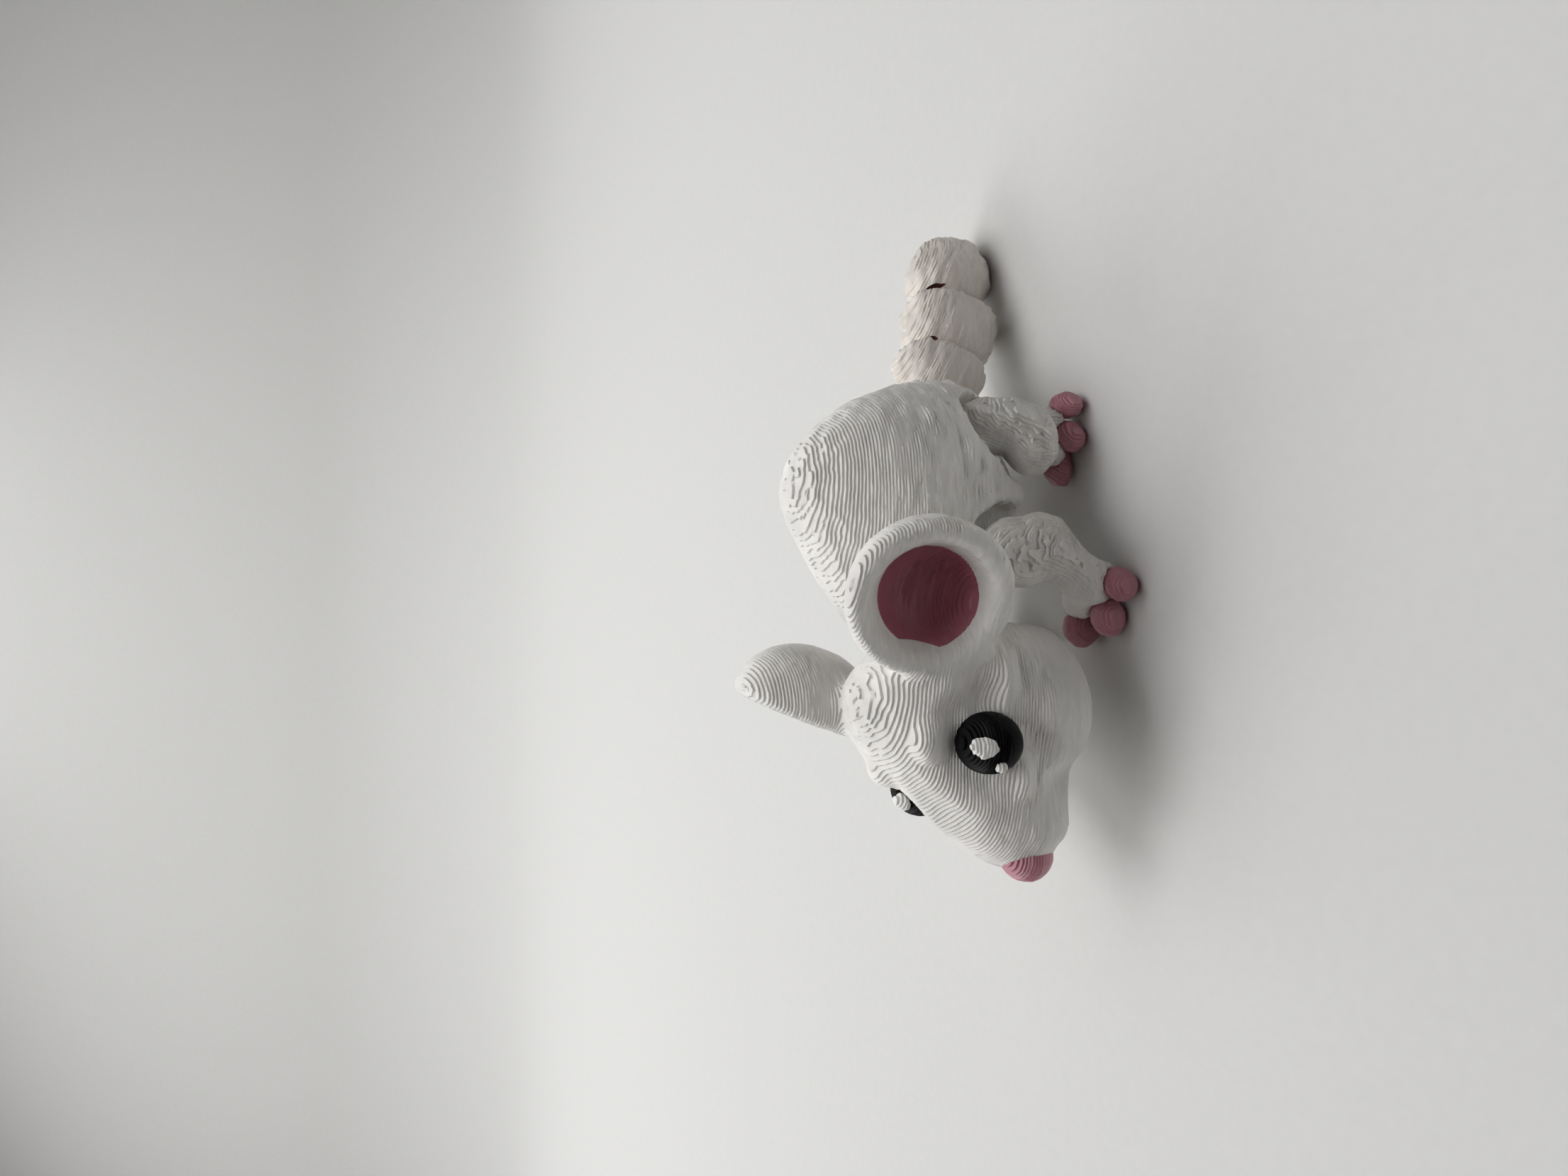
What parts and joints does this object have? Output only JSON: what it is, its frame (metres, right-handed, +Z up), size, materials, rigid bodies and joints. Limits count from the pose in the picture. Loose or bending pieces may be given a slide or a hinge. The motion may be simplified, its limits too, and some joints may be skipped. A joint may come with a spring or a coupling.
{
  "type": "articulated toy mouse",
  "caption": "Small jointed toy mouse printed in plastic layers, with a turning head, legs that swing in bays of the body and a linked tail.",
  "frame": {"origin": "on the floor under the middle of the toy", "axes": "+Z up, the mouse faces -Y, its left side is +X"},
  "size_m": [0.0228, 0.0448, 0.0199],
  "materials": {
    "white_plastic": "layered print, white",
    "tail_plastic": "layered print, warm white",
    "pink_plastic": "layered print, pink",
    "lining_plastic": "layered print, deep pink",
    "black_plastic": "layered print, glossy black"
  },
  "bodies": {
    "trunk": {"trunk": "white_plastic"},
    "head": {"head": "white_plastic", "nose": "pink_plastic", "eye_left": "black_plastic", "ear_left": "white_plastic", "ear_lining_left": "lining_plastic", "eye_right": "black_plastic", "ear_right": "white_plastic", "ear_lining_right": "lining_plastic", "glint_left_1": "white_plastic", "glint_left_2": "white_plastic", "glint_right_1": "white_plastic", "glint_right_2": "white_plastic"},
    "leg_front_left": {"leg_front_left": "white_plastic", "toe_front_left_1": "pink_plastic", "toe_front_left_2": "pink_plastic", "toe_front_left_3": "pink_plastic"},
    "leg_hind_left": {"leg_hind_left": "white_plastic", "toe_hind_left_1": "pink_plastic", "toe_hind_left_2": "pink_plastic", "toe_hind_left_3": "pink_plastic"},
    "leg_front_right": {"leg_front_right": "white_plastic", "toe_front_right_1": "pink_plastic", "toe_front_right_2": "pink_plastic", "toe_front_right_3": "pink_plastic"},
    "leg_hind_right": {"leg_hind_right": "white_plastic", "toe_hind_right_1": "pink_plastic", "toe_hind_right_2": "pink_plastic", "toe_hind_right_3": "pink_plastic"},
    "tail_link_1": {"tail_1": "tail_plastic"},
    "tail_link_2": {"tail_2": "tail_plastic"},
    "tail_link_3": {"tail_3": "tail_plastic"}
  },
  "joints": [
    {"name": "neck_turn", "type": "hinge", "parent": "trunk", "child": "head", "pos_m": [-0.0003, -0.00952, 0.009], "axis": [0, 0, 1], "range_deg": [-15, 5]},
    {"name": "shoulder_left", "type": "hinge", "parent": "trunk", "child": "leg_front_left", "pos_m": [0.0049, -0.00432, 0.0063], "axis": [0.9613, -0.2756, 0], "range_deg": [-8, 20]},
    {"name": "shoulder_right", "type": "hinge", "parent": "trunk", "child": "leg_front_right", "pos_m": [-0.0055, -0.00432, 0.0063], "axis": [0.9613, 0.2756, 0], "range_deg": [-8, 20]},
    {"name": "hip_left", "type": "hinge", "parent": "trunk", "child": "leg_hind_left", "pos_m": [0.0048, 0.00378, 0.0053], "axis": [0.9703, 0.2419, 0], "range_deg": [-15, 12]},
    {"name": "hip_right", "type": "hinge", "parent": "trunk", "child": "leg_hind_right", "pos_m": [-0.0054, 0.00378, 0.0053], "axis": [0.9703, -0.2419, 0], "range_deg": [-15, 12]},
    {"name": "tail_swing_1", "type": "hinge", "parent": "trunk", "child": "tail_link_1", "pos_m": [-0.0003, 0.00798, 0.00625], "axis": [0, 0, 1], "range_deg": [-10, 10]},
    {"name": "tail_swing_2", "type": "hinge", "parent": "tail_link_1", "child": "tail_link_2", "pos_m": [-0.0003, 0.01062, 0.00518], "axis": [0, 0, 1], "range_deg": [-10, 10]},
    {"name": "tail_swing_3", "type": "hinge", "parent": "tail_link_2", "child": "tail_link_3", "pos_m": [-0.0003, 0.01497, 0.00402], "axis": [0, 0, 1], "range_deg": [-10, 10]}
  ]
}
